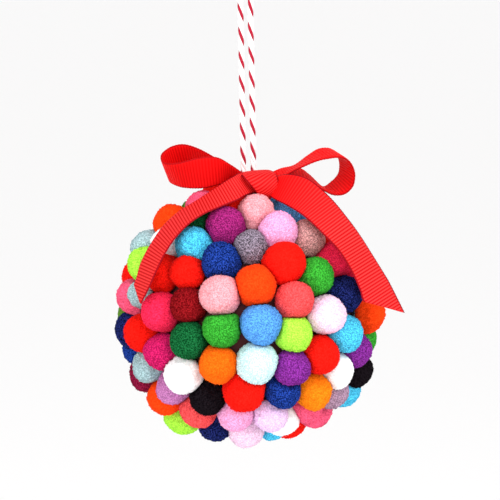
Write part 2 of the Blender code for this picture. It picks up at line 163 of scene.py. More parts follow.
# The yarns of those that show a little at the ball's outline or between the seen ones: the column
# and row of the pompom's middle, and its yarn
OUTLINE_YARNS = (
    (348, 267, "crimson"), (262, 202, "maroon"), (317, 219, "blush"), (354, 276, "crimson"),
    (246, 429, "blush"), (167, 235, "white"), (313, 409, "rose"), (227, 203, "red"),
    (362, 294, "orange_red"), (344, 248, "crimson"), (157, 377, "wine"), (287, 204, "steel"),
    (214, 419, "navy"), (218, 200, "red"), (184, 399, "orange_red"), (330, 240, "red"),
)
OUTLINE_REACH = 9.0            # pixels within which a place of the table above counts as a pompom's
SPACING = 10.4 * MM            # neighbours nearer than this push each other away
LOOSEST_SPACING = 8.3 * MM     # a gap is filled while its middle is further than this from all
TOP_CLEARING = 9.5 * MM        # the pit at the top, which the twine comes out of, stays bare
TRIAL_PLACES = 1500
SETTLING_STEPS = 90
SETTLING_RATE = 0.3
SEEN_FREEDOM = 0.01            # a seen pompom's share of a hidden one's movement
HIDDEN_UNEVENNESS = 0.5        # how far in mm a hidden pompom stands proud or lies deep
HIDDEN_RHYTHM = 7.0            # how fast that changes from one hidden pompom to the next
ROUND_THE_BACK = -0.5          # how far behind the outline a pompom may lie and take its yarn there

# Ribbon edges, station by station: near edge's column and row, far edge's column and row, how far
# the near edge stands towards the viewer in mm, and the share of its width that the ribbon keeps
LEFT_LOOP = (
    (252, 178, 252, 190, 10.5, 0.45), (236, 172, 237, 187, 11.0, 0.55),
    (217, 159, 220, 180, 10.5, 0.8), (199, 149, 204, 173, 9.0, 1.0),
    (184, 144.5, 190, 170, 7.0, 1.0), (172, 146.5, 179, 171, 7.5, 1.0),
    (163, 152.5, 171, 177, 10.0, 1.0), (161, 157.5, 170, 181, 12.5, 1.0),
    (165, 163, 173, 184, 15.0, 1.0), (178, 163, 184, 187.5, 17.5, 1.0),
    (199, 158, 203, 188, 19.0, 1.0), (217, 157.5, 219, 184.5, 19.0, 0.95),
    (231, 165, 232, 181.5, 15.5, 0.75), (248, 177, 248, 187, 13.0, 0.45),
)
RIGHT_LOOP = (
    (270, 184, 268, 174, 12.5, 0.45), (286, 176, 281, 168.5, 14.0, 0.65),
    (300, 168, 294, 165.5, 19.0, 0.95), (317, 161, 307, 156, 20.0, 1.0),
    (329, 158.5, 317, 149.5, 20.0, 1.0), (338, 157.5, 325, 148, 19.5, 1.0),
    (345, 158.5, 331, 149.5, 18.5, 1.0), (350.5, 163, 336.5, 154, 17.5, 1.0),
    (354, 169.5, 339, 160.5, 16.5, 1.0), (355, 177, 339.5, 167, 15.5, 1.0),
    (352.5, 187, 338, 174, 14.5, 1.0), (344, 194.3, 332, 181, 14.0, 1.0),
    (333, 194.5, 321.5, 186.5, 13.0, 1.0), (317, 187, 308, 174, 12.5, 0.95),
    (300, 181, 297, 168.5, 12.0, 0.75), (274, 186, 272, 176, 11.5, 0.45),
)
LEFT_TAIL = (
    (268, 192.5, 256, 176, 13.5, -0.6), (254.5, 192.8, 241, 173, 15.0, -0.7),
    (246, 195, 233.5, 176.5, 19.5, 0.64), (237.5, 200, 226, 181, 23.5, 0.82),
    (220, 207, 211, 191, 27.0, 0.95), (204, 214, 197, 200, 29.0, 1.0),
    (189, 224, 181, 210, 30.5, 1.0), (175.5, 238, 165, 224, 31.5, 1.0),
    (165.5, 253, 152, 242, 32.0, 1.0), (157, 270, 141, 262.5, 32.0, 1.0),
    (149.5, 287, 135.5, 281, 31.0, 1.0), (141, 304, 127, 298, 30.0, 1.0),
)
RIGHT_TAIL = (
    (264, 192.5, 268, 179, 12.5, 0.6), (275, 199.3, 287, 174.5, 18.6, -0.75),
    (288, 206, 308, 179, 22.0, 0.95), (305, 217, 330, 197.5, 26.5, 1.0),
    (325, 236, 348, 219, 29.5, 1.0), (339, 251, 361, 237, 30.0, 1.0),
    (351, 270, 373, 256, 29.5, 1.0), (360, 290, 384.5, 274.5, 28.5, 1.0),
    (363.5, 301.5, 390, 284, 27.5, 1.0), (377.5, 329.5, 404.5, 313, 25.5, 1.0),
)
# Each stretch: its stations, the station at which its near and its far edge are cut, its length
# along its middle in metres, and how it is held
RIBBON_STRETCHES = (
    ("left_loop", LEFT_LOOP, 13.0, 13.0, 0.0617, "folded"),
    ("right_loop", RIGHT_LOOP, 15.0, 15.0, 0.0563, "folded"),
    ("left_tail", LEFT_TAIL, 11.0, 10.17, 0.0532, "hung"),
    ("right_tail", RIGHT_TAIL, 8.0, 9.0, 0.0583, "hung"),
)
RIB_STEPS = 6                  # steps along the ribbon in one rib
LINE_STEPS = 24                # fine steps between two stations
RIBBON_LANES = 13              # points across one face of the ribbon
RIB_MARGIN = 0.06              # the share of the width in which a rib dies out at an edge
PICOT = 0.10 * MM              # how far a rib's thread stands out where it turns round the edge
EDGE_THINNING = 0.55           # how much thinner the ribbon is at its edges

# The knot's wrapped band, station by station round it: left edge's column and row, right edge's
# column and row, and how far each edge stands towards the viewer in mm. The first row is behind
KNOT_BAND = (
    (250, 184, 278, 184, 6.5, 6.5), (242, 175, 276, 173, 8.0, 8.0),
    (239.5, 173, 271.5, 170, 14.0, 11.5), (243, 176, 276, 173.5, 19.0, 15.6),
    (249, 183, 278.5, 180.5, 19.6, 17.4), (254.5, 190, 278, 188, 18.8, 17.4),
    (258.5, 196, 273.5, 195.5, 16.5, 16.0), (259, 198.5, 271.5, 199, 13.0, 13.0),
    (256, 195, 273, 195, 8.0, 8.0),
)
KNOT_LANES = 25
KNOT_CROWN = 0.25 * MM         # how far the band's middle swells over its edges
KNOT_TUCK = 0.3 * MM           # how far its edges turn in
KNOT_SAG = 0.6 * MM            # how far a rib's middle hangs under its ends
KNOT_SLANT = 2.2 * MM          # how far its right end is pulled up, and its left end down

TWINE_RADIUS = 0.9 * MM
TWINE_STEP = 0.28 * MM         # from one ring of points to the next
PLY_SIDES = 12
PLY_TWIST = 1.6                # turns of a ply's own fibres in one turn of the lay
PLY_RIDGES = 5.0               # spun ridges round a ply
RIDGE_TURNS = 4.0              # how far the ridges have wound on in one turn of the lay
RIDGE_HEIGHT = 0.05            # of the ply's radius
STRAND_SPREAD_LOW = 1.15 * MM
STRAND_SPREAD = 1.45 * MM
EYE_RADIUS = 3.8 * MM
EYE_LENGTH = 14.0 * MM
EYE_FLARE = ((0.55, 0.33), (0.86, 0.66))    # how wide it has opened, at each share of its length
STRAND_SHARES = (0.16, 0.4, 0.7, 1.0)
ROUTE_STEPS = 40               # fine steps between two places of the route
FIBRES_AROUND = 1.2            # the UV's stretch round a ply and along it, and from ply to ply
FIBRES_ALONG = 0.35
PLIES_APART = 7.0
PLIES = 3
PLY_OFFSET = 0.47              # a ply's distance from the twine's line, of the twine's radius
PLY_SHARE = 0.47               # a ply's own radius, of the twine's radius
TWINE_START = 4.2              # the turn at which the red ply starts


def linear(red, green, blue):
    """Return a colour as seen, 0 to 255 a channel, as light: each channel by the sRGB curve."""
    seen = np.array([red, green, blue]) / 255.0
    light = np.where(seen <= 0.04045, seen / 12.92, ((seen + 0.055) / 1.055) ** 2.4)
    return tuple(float(channel) for channel in light)


def length_property(label, description, length):
    """Return a property that holds a length in metres."""
    return FloatProperty(name=label, description=description, default=length,
                         subtype="DISTANCE", unit="LENGTH")


def count_property(label, description, count):
    """Return a property that holds a whole number."""
    return IntProperty(name=label, description=description, default=count)


class OrnamentSizes(PropertyGroup):
    """Sizes that a user would change."""

    pompom_radius: length_property(
        "Pompom radius", "Of a pompom that does not show in the photo, its pile included", 5.4 * MM)
    pile_grid: count_property("Pile detail", "Grid lines across one pompom's face", 48)
    pile_roughness: length_property(
        "Pile unevenness", "How far single tufts stand out or lie in", 0.12 * MM)
    stray_fibres: count_property(
        "Stray fibres", "Loose fibre ends that stand out of one pompom", 220)
    stray_length: length_property(
        "Stray fibre length", "How far the longest fibre ends stand out", 0.75 * MM)
    ribbon_width: length_property("Ribbon width", "Across the ribbon, edge to edge", 10.0 * MM)
    ribbon_thickness: length_property(
        "Ribbon thickness", "Between the grooves of its two faces", 0.40 * MM)
    rib_pitch: length_property("Rib pitch", "From one cross rib to the next", 0.88 * MM)
    rib_height: length_property("Rib height", "How far a rib stands over its groove", 0.13 * MM)
    twine_radius: length_property(
        "Twine radius", "Of the three plies laid together", TWINE_RADIUS)
    twine_lay: length_property(
        "Twine lay", "Length of twine in which its plies turn once", 6.9 * MM)


def in_words(name):
    """Return a yarn's name in the table as words."""
    return name.replace("_", " ")


def colour_property(label, description, colour):
    """Return a colour property whose default is a colour given as seen."""
    return FloatVectorProperty(name=label, description=description, subtype="COLOR", size=3,
                               min=0.0, max=1.0, default=linear(*colour))


class YarnColours(PropertyGroup):
    """The pompoms' yarns, one colour for each entry of the table of yarns."""

    __annotations__ = {
        yarn: colour_property(in_words(yarn).capitalize(),
                              "Colour of the " + in_words(yarn) + " pompoms", values[:3])
        for yarn, values in YARNS.items()
    }


class TrimColours(PropertyGroup):
    """Colours of the ribbon, the twine and the stage."""

    ribbon: colour_property("Ribbon", "Colour of the ribbon's ribs", (232, 6, 8))
    # The edge colours are painted shade: a darker band along each edge, darker on the tails than on
    # the loops
    loop_edge_shade: colour_property("Loops' edge", "Colour of the loops' painted edge shade", (168, 6, 12))
    tail_edge_shade: colour_property("Tails' edge", "Colour of the tails' painted edge shade", (138, 8, 20))
    twine_white: colour_property(
        "White plies", "Colour of the twine's white plies", (247, 243, 243))
    twine_red: colour_property("Red ply", "Colour of the twine's one red ply", (164, 18, 44))
    # The core is a real piece, but its dark red-brown is partly painted shade for the gaps between
    # the pompoms
    core: colour_property("Core", "Colour of the core ball between the pompoms", (84, 36, 38))
    backdrop: colour_property("Backdrop", "Colour of the floor", (254, 254, 254))


def view_axes():
    """Return the photo's right, up and towards-the-viewer directions."""
    rise, run = math.sin(VIEW_ELEVATION), math.cos(VIEW_ELEVATION)
    return np.array([1.0, 0.0, 0.0]), np.array([0.0, rise, run]), np.array([0.0, -run, rise])


def photo_aim():
    """Return the place behind the photo's middle, from the ball's centre."""
    right, up, _ = view_axes()
    pixels = right * (PHOTO_MIDDLE - BALL_COLUMN) + up * (BALL_ROW - PHOTO_MIDDLE)
    return pixels * METRES_PER_PIXEL


def photo_ray(column, row):
    """Return the viewer's place and the direction through a pixel, from the ball's centre."""
    right, up, towards = view_axes()
    across = (column - PHOTO_MIDDLE) * METRES_PER_PIXEL
    above = (PHOTO_MIDDLE - row) * METRES_PER_PIXEL
    direction = right * across + up * above - towards * VIEW_DISTANCE
    return photo_aim() + towards * VIEW_DISTANCE, direction / np.linalg.norm(direction)


def at_depth(column, row, depth):
    """Return the place behind a pixel that stands this far towards the viewer."""
    viewer, direction = photo_ray(column, row)
    towards = view_axes()[2]
    return viewer + direction * ((depth - viewer @ towards) / (direction @ towards))


def at_reach(column, row, start, reach):
    """Return the place behind a pixel that lies this far from the near edge's place."""
    viewer, direction = photo_ray(column, row)
    foot = viewer + direction * (direction @ (start - viewer))
    short = reach ** 2 - np.sum((foot - start) ** 2)
    return foot + direction * math.copysign(math.sqrt(max(short, 0.0)), reach)


def seen_direction(column, row, proud, side):
    """Return the direction from the ball's centre to a pompom seen at this pixel."""
    viewer, direction = photo_ray(column, row)
    along = direction @ viewer
    inside = along ** 2 - (viewer @ viewer - (POMPOM_SEAT + proud * MM) ** 2)
    place = viewer + direction * (-along - side * math.sqrt(max(inside, 0.0)))
    return place / np.linalg.norm(place)


def outline_yarn(place):
    """Return the yarn that the photo shows for a pompom placed by its gaps, or nothing."""
    right, up, towards = view_axes()
    viewer, _ = photo_ray(PHOTO_MIDDLE, PHOTO_MIDDLE)
    sight = place - viewer
    pixels = VIEW_DISTANCE / METRES_PER_PIXEL / -(sight @ towards)
    column = PHOTO_MIDDLE + (sight @ right) * pixels
    row = PHOTO_MIDDLE - (sight @ up) * pixels
    away, yarn = min((math.hypot(column - c, row - r), name) for c, r, name in OUTLINE_YARNS)
    facing = place @ towards / POMPOM_SEAT
    return yarn if away < OUTLINE_REACH and facing > ROUND_THE_BACK else None


def even_directions(count):
    """Return directions spread evenly over a sphere along a golden-angle spiral."""
    index = np.arange(count)
    height = 1.0 - (2.0 * index + 1.0) / count
    turn = index * math.pi * (3.0 - math.sqrt(5.0))
    width = np.sqrt(1.0 - height ** 2)
    return np.stack([width * np.cos(turn), width * np.sin(turn), height], axis=1)


def pompom_layout(pompom_radius):
    """Return each pompom's direction from the ball's centre, how proud it stands and its radius.

    The seen pompoms are placed first. Each further one goes into the widest gap left, and then
    all push their neighbours to arm's length, the seen ones hardly moving.
    """
    seen = np.array([seen_direction(*row[:4]) for row in SEEN_POMPOMS])
    candidates = even_directions(TRIAL_PLACES)
    bare = np.hypot(candidates[:, 0], candidates[:, 1]) * POMPOM_SEAT < TOP_CLEARING
    candidates = candidates[~(bare & (candidates[:, 2] > 0.0))]
    chosen = list(seen)
    nearest = np.linalg.norm(candidates[:, None] - seen[None], axis=2).min(axis=1)
    while nearest.max() * POMPOM_SEAT > LOOSEST_SPACING:
        best = candidates[nearest.argmax()]
        chosen.append(best)
        nearest = np.minimum(nearest, np.linalg.norm(candidates - best, axis=1))
    places = np.array(chosen)
    freedom = np.ones(len(places))
    freedom[:len(seen)] = SEEN_FREEDOM
    for _ in range(SETTLING_STEPS):
        apart = places[:, None] - places[None]
        distance = np.linalg.norm(apart, axis=2) * POMPOM_SEAT
        np.fill_diagonal(distance, 1.0)
        push = np.clip(SPACING - distance, 0.0, None) / POMPOM_SEAT
        shift = (apart / distance[..., None] * POMPOM_SEAT * push[..., None]).sum(axis=1)
        places = places + shift * freedom[:, None] * SETTLING_RATE
        edge = np.hypot(places[:, 0], places[:, 1])
        inside = (edge * POMPOM_SEAT < TOP_CLEARING) & (places[:, 2] > 0.0)
        places[inside, :2] *= (TOP_CLEARING / POMPOM_SEAT / edge[inside])[:, None]
        places /= np.linalg.norm(places, axis=1)[:, None]
    seen_proud = [row[2] for row in SEEN_POMPOMS]
    hidden_proud = HIDDEN_UNEVENNESS * np.sin(HIDDEN_RHYTHM * np.arange(len(places) - len(seen)))
    radii = np.full(len(places), pompom_radius)
    radii[:len(seen)] = [row[4] * MM for row in SEEN_POMPOMS]
    return places, np.concatenate([seen_proud, hidden_proud]) * MM, radii


def smooth_curve(points, steps):
    """Return a Catmull-Rom curve through the points, with this many steps between two."""
    points = np.array(points, dtype=float)
    padded = np.vstack([2.0 * points[0] - points[1], points, 2.0 * points[-1] - points[-2]])
    share = (np.arange(steps) / steps)[None, :, None]
    before, start, end, after = (padded[i:len(padded) - 3 + i][:, None, :] for i in range(4))
    curve = 0.5 * (2.0 * start + (end - before) * share
                   + (2.0 * before - 5.0 * start + 4.0 * end - after) * share ** 2
                   + (3.0 * start - before - 3.0 * end + after) * share ** 3)
    return np.vstack([curve.reshape(-1, 3), points[-1]])


def run_along(curve):
    """Return how far along a curve each of its points lies."""
    return np.concatenate([[0.0], np.cumsum(np.linalg.norm(np.diff(curve, axis=0), axis=1))])


def points_along(curve, run, wanted):
    """Return the curve's points at the wanted lengths along its run."""
    return np.stack([np.interp(wanted, run, curve[:, axis]) for axis in range(3)], axis=-1)


def resample(curve, step):
    """Return a curve's points at even steps, and how far along it each one lies."""
    run = run_along(curve)
    stops = np.linspace(0.0, run[-1], int(round(run[-1] / step)) + 1)
    return points_along(curve, run, stops), stops


def unit(vectors):
    """Return vectors at length one."""
    return vectors / np.linalg.norm(vectors, axis=-1, keepdims=True)


def grid_faces(rows, columns, closed):
    """Return the quads of a grid of points, whose columns form a ring where closed is true."""
    first = np.arange(rows - 1)[:, None] * columns
    side = np.arange(columns if closed else columns - 1)[None, :]
    after = (side + 1) % columns
    quads = np.stack([first + side, first + after, first + columns + after, first + columns + side],
                     axis=-1)
    return quads.reshape(-1, 4)


def mesh_piece(name, points, faces, materials, slots=None, uv=None):
    """Make a smooth piece, with its materials and, where given, a UV for each point."""
    mesh = bpy.data.meshes.new(name)
    mesh.from_pydata(points, [], faces)
    for material in materials:
        mesh.materials.append(material)
    if slots is not None:
        mesh.polygons.foreach_set("material_index", slots)
    if uv is not None:
        corner = np.empty(len(mesh.loops), dtype=np.int32)
        mesh.loops.foreach_get("vertex_index", corner)
        layer = mesh.uv_layers.new(name="lay")
        layer.data.foreach_set("uv", np.asarray(uv)[corner].ravel())
    mesh.shade_smooth()
    mesh.update()
    piece = bpy.data.objects.new(name, mesh)
    bpy.context.scene.collection.objects.link(piece)
    return piece


def fill(made, inputs):
    """Set the values of a node's unlinked inputs."""
    for name, value in inputs:
        made.inputs[name].default_value = value


def node(tree, kind, label, inputs=(), **settings):
    """Add a shader node, with its settings and its unlinked inputs' values."""
    made = tree.nodes.new("ShaderNode" + kind)
    made.label = label
    for name, value in settings.items():
        setattr(made, name, value)
    fill(made, inputs)
    return made


def shade_ramp(tree, label, source, stops):
    """Add a colour ramp through its stops, each a position and a colour, fed by a socket."""
    ramp = node(tree, "ValToRGB", label)
    marks = ramp.color_ramp.elements
    ends = (marks[0], stops[0]), (marks[1], stops[-1])
    for mark, (position, colour) in ends:
        mark.position, mark.color = position, (*colour, 1.0)
    for position, colour in stops[1:-1]:
        marks.new(position).color = (*colour, 1.0)
    tree.links.new(source, ramp.inputs["Fac"])
    return ramp.outputs["Color"]


def add_relief(tree, shader, label, height, strength, distance):
    """Roughen the shader's surface by a height, as fine relief."""
    bump = node(tree, "Bump", label, (("Strength", strength), ("Distance", distance)))
    tree.links.new(height, bump.inputs["Height"])
    tree.links.new(bump.outputs["Normal"], shader.inputs["Normal"])


def new_material(name):
    """Return a new node material with its tree, its shader and object coordinates."""
    material = bpy.data.materials.new(name)
    material.use_nodes = True
    tree = material.node_tree
    place = node(tree, "TexCoord", "Place")
    return material, tree, tree.nodes["Principled BSDF"], place


def plain_material(name, colour):
    """Make a dull finish of one colour."""
    material, _, shader, _ = new_material(name)
    fill(shader, (("Base Color", (*colour, 1.0)), ("Roughness", 1.0)))
    return material


PILE_DEPTH = 1.3                # how strongly a yarn's contrast parts the painted highlight on its tips from the painted shade in its depths
DARKEST = 0.9                   # the most of its colour that the painted shade in a depth takes away
BRIGHTEST = 0.96                # the lightest that a lit fibre gets


def pile_material(name, colour, contrast):
    """Make a yarn pile finish: a fine noise of painted highlights on the fibre ends, over painted
    shade in the depths between them.
    """
    material, tree, shader, place = new_material(name)
    link = tree.links.new
    ends = node(tree, "TexNoise", "Fibre ends",
                (("Scale", 2900.0), ("Detail", 2.0), ("Roughness", 0.6)))
    drift = node(tree, "TexNoise", "Dye drift", (("Scale", 260.0), ("Detail", 2.0)))
    link(place.outputs["Object"], ends.inputs["Vector"])
    link(place.outputs["Object"], drift.inputs["Vector"])
    base = np.array(colour)
    # Painted shade in the depths between the fibres, and a painted highlight on the fibre ends
    deep = base * (1.0 - min(PILE_DEPTH * contrast, DARKEST))
    tip = np.clip(base * (1.0 + PILE_DEPTH * contrast) + 0.015 * contrast, 0.0, BRIGHTEST)
    pile = shade_ramp(tree, "Painted shade to highlight", ends.outputs["Fac"], ((0.44, deep), (0.58, tip)))
    shade = node(tree, "MapRange", "Drift shade",
                 (("From Min", 0.3), ("From Max", 0.7), ("To Min", 0.92), ("To Max", 1.05)))
    tint = node(tree, "VectorMath", "Drifted colour", operation="SCALE")
    link(drift.outputs["Fac"], shade.inputs["Value"])
    link(pile, tint.inputs[0])
    link(shade.outputs["Result"], tint.inputs["Scale"])
    link(tint.outputs["Vector"], shader.inputs["Base Color"])
    add_relief(tree, shader, "Fibre relief", ends.outputs["Fac"], 0.7, 0.12 * MM)
    fill(shader, (("Roughness", 1.0), ("Specular IOR Level", 0.02),
                  ("Sheen Weight", 0.13 * float(base.max())), ("Sheen Roughness", 0.3),
                  ("Sheen Tint", (*np.clip(base * 0.9 + 0.1, 0.0, 1.0), 1.0))))
    return material


def disc_grid(count):
    """Return a square grid laid over a disc without a pole, each cell of equal area, and its rim.

    A point's larger square coordinate is its radius, and the ratio of the smaller to the larger,
    times an eighth turn, is its angle from that side's middle.
    """
    line = np.linspace(-1.0, 1.0, count)
    across, up = np.meshgrid(line, line, indexing="xy")
    wide = np.abs(across) > np.abs(up)
    big = np.where(wide, across, up)
    small = np.where(wide, up, across)
    ratio = np.divide(small, big, out=np.zeros_like(big), where=big != 0.0)
    turn = np.where(wide, ratio * math.pi / 4.0, math.pi / 2.0 - ratio * math.pi / 4.0)
    x, y = big * np.cos(turn), big * np.sin(turn)
    last = count - 1
    index = np.arange(count * count).reshape(count, count)
    rim = np.concatenate([index[0, :last], index[:last, last], index[last, last:0:-1],
                          index[last:0:-1, 0]])
    return np.stack([x.ravel(), y.ravel()], axis=1), rim


def dome_directions(disc, widest):
    """Lay a disc over a sphere's cap of equal area: distance from the axis is 2 sin(angle / 2)."""
    radius = np.hypot(disc[:, 0], disc[:, 1])
    angle = 2.0 * np.arcsin(np.clip(radius * math.sin(widest / 2.0), 0.0, 1.0))
    flat = disc / np.maximum(radius, 1e-9)[:, None]
    return np.column_stack([flat * np.sin(angle)[:, None], np.cos(angle)]), angle


def frame_about(axis):
    """Return two directions square to an axis and the axis itself, as rows."""
    aside = unit(np.cross(axis, [0.31, 0.87, 0.38]))
    return np.stack([aside, np.cross(axis, aside), axis])


def lumps(points, seed, size, rounds):
    """Return soft unevenness, 1 at its most: a mean of waves that run in seeded directions."""
    draw = np.random.default_rng(seed)
    heading = unit(draw.normal(size=(rounds, 3))) * 2.0 * math.pi / size
    start = draw.uniform(0.0, 2.0 * math.pi, rounds)
    return np.sin(points @ heading.T + start).mean(axis=1)


# The pile's unevenness: its waves' length and height in mm, and how many of them are averaged
SOFT_LUMPS = (7.0, 0.50, 9)
TUFTS = (1.3, 0.30, 24)


def pile_relief(points, seed):
    """Return how far the pile swells or dips: wide soft lumps and small tufts, added up."""
    soft, tufts = (lumps(points, seed + step, size * MM, rounds) * height * MM
                   for step, (size, height, rounds) in enumerate((SOFT_LUMPS, TUFTS), 1))
    return soft + tufts


FACE_EDGE = math.radians(116.0)     # how far round from its outward pole a pompom's grid reaches
SQUEEZE = 20.0                      # how sharply a pompom flattens where it meets a neighbour
FOOT_SPREAD = 0.10                  # how much a pompom's glued foot spreads into the gaps
YIELD = 0.6                         # how far a pompom gives way to one that stands prouder
NEIGHBOURHOOD = 2.3                 # pompoms this many radii away or nearer press on each other
LEAST_FACING = 0.05                 # keeps a plane that is seen edge on from running off
FOOT_START = math.radians(84.0)     # where the foot begins to spread, from the outward pole
FOOT_SWEEP = math.radians(32.0)     # over how much further round it reaches its full spread
GRID_SHAKE = 0.33                   # how far a grid point is moved, of its cell
SHAKEN = 0.97                       # the share of the disc whose points are moved
BACK_DEPTH = 0.5                    # how deep a pompom's hidden back lies, of its radius
FIBRE_LIMIT = -0.15                 # how far round the back stray fibres grow
FIBRE_LEAN = 0.45
FIBRE_ROOT = 0.25 * MM              # how deep in the pile a stray fibre is rooted
FIBRE_RADIUS = 0.045 * MM
FIBRE_SHORTEST = 0.25               # of the longest
FIBRE_BIAS = 1.5                    # above 1, short fibres outnumber long ones
SEED_STEP = 10                      # how far apart two pompoms' seeds lie


def squeezed_radius(directions, angle, own, centres, proud, radii):
    """Return a pompom's radius along directions: round, but flattened against its neighbours.

    A neighbour's plane goes through the circle where the two round forms meet, shifted towards the
    one that stands less proud, and stands at its distance over the cosine along a direction. Free
    radius and planes are blended by a power mean, so that the form keeps rounded corners. Past the
    pompom's equator its free radius grows, where the glued foot spreads.
    """
    radius = radii[own]
    apart = centres - centres[own]
    distance = np.linalg.norm(apart, axis=1)
    near = (distance > 1e-6) & (distance < NEIGHBOURHOOD * radius)
    facing = directions @ (apart[near] / distance[near][:, None]).T
    spread = np.clip((angle - FOOT_START) / FOOT_SWEEP, 0.0, 1.0)
    free = radius * (1.0 + FOOT_SPREAD * spread ** 2 * (3.0 - 2.0 * spread))
    stand = distance[near] / 2.0 + (radius ** 2 - radii[near] ** 2) / (2.0 * distance[near])
    stand = np.maximum(stand + YIELD * (proud[own] - proud[near]), distance[near] - radii[near])
    plane = stand[None, :] / np.maximum(facing, LEAST_FACING)
    total = free ** -SQUEEZE + (plane ** -SQUEEZE).sum(axis=1)
    return total ** (-1.0 / SQUEEZE)


def pompom_form(own, places, centres, proud, radii, seed, sizes):
    """Return one pompom's points and faces: its squeezed dome, its hidden back and stray fibres."""
    draw = np.random.default_rng(seed)
    centre, axis, radius = centres[own], places[own], radii[own]
    count = sizes.pile_grid
    disc, rim = disc_grid(count)
    cell = 2.0 / (count - 1)
    inner = np.hypot(disc[:, 0], disc[:, 1]) < SHAKEN
    disc = disc + draw.uniform(-GRID_SHAKE, GRID_SHAKE, disc.shape) * cell * inner[:, None]
    turn = draw.uniform(0.0, 2.0 * math.pi)
    spin = np.array([[math.cos(turn), math.sin(turn)], [-math.sin(turn), math.cos(turn)]])
    local, angle = dome_directions(disc @ spin, FACE_EDGE)
    frame_rows = frame_about(axis)
    directions = local @ frame_rows
    reach = squeezed_radius(directions, angle, own, centres, proud, radii)
    grain = draw.normal(0.0, sizes.pile_roughness, len(reach))
    reach = reach + pile_relief(directions * radius, seed) + grain
    points = centre + directions * reach[:, None]
    back = centre - axis * BACK_DEPTH * radius
    faces = grid_faces(count, count, False)
    hub = len(points)
    closing = np.stack([np.roll(rim, -1), rim, np.full(len(rim), hub)], axis=1)
    # Stray fibres: thin spikes rooted just under the pile, leaning every way
    loose = unit(draw.normal(size=(sizes.stray_fibres * 3, 3)))
    loose = loose[loose @ axis > FIBRE_LIMIT][:sizes.stray_fibres]
    loose_angle = np.arccos(np.clip(loose @ axis, -1.0, 1.0))
    root_reach = squeezed_radius(loose, loose_angle, own, centres, proud, radii)
    root_reach = root_reach + pile_relief(loose * radius, seed)
    lean = unit(loose + draw.normal(0.0, FIBRE_LEAN, loose.shape))
    long = sizes.stray_length * draw.uniform(FIBRE_SHORTEST, 1.0, len(loose)) ** FIBRE_BIAS
    root = centre + loose * (root_reach - FIBRE_ROOT)[:, None]
    aside = unit(np.cross(lean, loose + [0.011, 0.007, 0.013]))
    other = np.cross(lean, aside)
    ring = [root + (aside * math.cos(a) + other * math.sin(a)) * FIBRE_RADIUS
            for a in (0.0, 2.0 * math.pi / 3.0, 4.0 * math.pi / 3.0)]
    tip = root + lean * (long + FIBRE_ROOT)[:, None]
    spikes = np.stack([*ring, tip], axis=1).reshape(-1, 3)
    first = hub + 1 + 4 * np.arange(len(loose))[:, None]
    spike_faces = np.concatenate([first + [0, 1, 3], first + [1, 2, 3], first + [2, 0, 3],
                                  first + [2, 1, 0]])
    points = np.vstack([points, back, spikes])
    return points, faces, np.vstack([closing, spike_faces])


def circle(count):
    """Return points set evenly round a circle of radius one."""
    turn = np.linspace(0.0, 2.0 * math.pi, count + 1)[:-1]
    return np.stack([np.cos(turn), np.sin(turn)], axis=1)


def core_form():
    """Return the core ball's points and faces: rings of latitude between two poles."""
    lie = np.linspace(0.0, math.pi, CORE_RINGS + 2)[1:-1]
    flat = (np.sin(lie)[:, None, None] * circle(CORE_SIDES)[None]).reshape(-1, 2)
    rings = np.column_stack([flat, np.repeat(np.cos(lie), CORE_SIDES)])
    points = np.vstack([rings, [[0.0, 0.0, 1.0], [0.0, 0.0, -1.0]]]) * CORE_RADIUS + BALL_CENTRE
    side = np.arange(CORE_SIDES)
    after = (side + 1) % CORE_SIDES
    last, top = (CORE_RINGS - 1) * CORE_SIDES, len(rings)
    caps = np.vstack([np.stack([np.full(CORE_SIDES, top), side, after], axis=1),
                      np.stack([np.full(CORE_SIDES, top + 1), last + after, last + side], axis=1)])
    return points, grid_faces(CORE_RINGS, CORE_SIDES, True).tolist() + caps.tolist()


class ORNAMENT_OT_pompoms(Operator):
    """Add the pompoms, one piece for each yarn, and the core that they are glued to."""

    bl_idname = "ornament.add_pompoms"
    bl_label = "Add pompoms"

    def execute(self, context):
        sizes = context.scene.ornament_sizes
        colours = context.scene.ornament_yarns
        places, proud, radii = pompom_layout(sizes.pompom_radius)
        centres = BALL_CENTRE + places * (POMPOM_SEAT + proud)[:, None]
        yarns = [row[5] for row in SEEN_POMPOMS]
        for i, centre in enumerate((centres - BALL_CENTRE)[len(yarns):]):
            yarns.append(outline_yarn(centre) or HIDDEN_YARNS[i % len(HIDDEN_YARNS)])
        for yarn, (_, _, _, contrast) in YARNS.items():
            members = [i for i, name in enumerate(yarns) if name == yarn]
            if not members:
                raise RuntimeError("no pompom is made of the yarn " + yarn)
            points, quads, triangles, start = [], [], [], 0
            for i in members:
                form = pompom_form(i, places, centres, proud, radii, SEED_STEP * i, sizes)
                points.append(form[0])
                quads.append(form[1] + start)
                triangles.append(form[2] + start)
                start += len(form[0])
            material = pile_material(yarn + "_pile", tuple(getattr(colours, yarn)), contrast)
            faces = np.vstack(quads).tolist() + np.vstack(triangles).tolist()
            piece = mesh_piece("pompoms_" + yarn, np.vstack(points), faces, [material])
            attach(piece, "root")
            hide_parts("pompom_ball")
        # The core's dark colour stands in partly for the shade in the gaps between the pompoms
        finish = plain_material("core_finish", context.scene.ornament_trim.core)
        core = mesh_piece("core_ball", *core_form(), [finish])
        close_up(core)
        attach(core, "root")
        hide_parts("pompom_ball")
        return {"FINISHED"}


# A part of the ribbon, its painted edge shade, the share of the colour that its painted groove
# shade keeps, the white of its ribs' painted highlight, and the rib, counted from the knot, from
# which the painted groove shade and rib highlight show in full. Loops and tails are lit and
# shaded copies of one grosgrain: the tails' ribs are painted lighter and their grooves darker
RIBBON_FINISHES = (
    ("left_loop", "loop_edge_shade", 0.72, 0.006, 0), ("right_loop", "loop_edge_shade", 0.72, 0.006, 0),
    ("left_tail", "tail_edge_shade", 0.46, 0.038, 0), ("right_tail", "tail_edge_shade", 0.46, 0.044, 36),
    ("knot", "tail_edge_shade", 0.50, 0.030, 0),
)


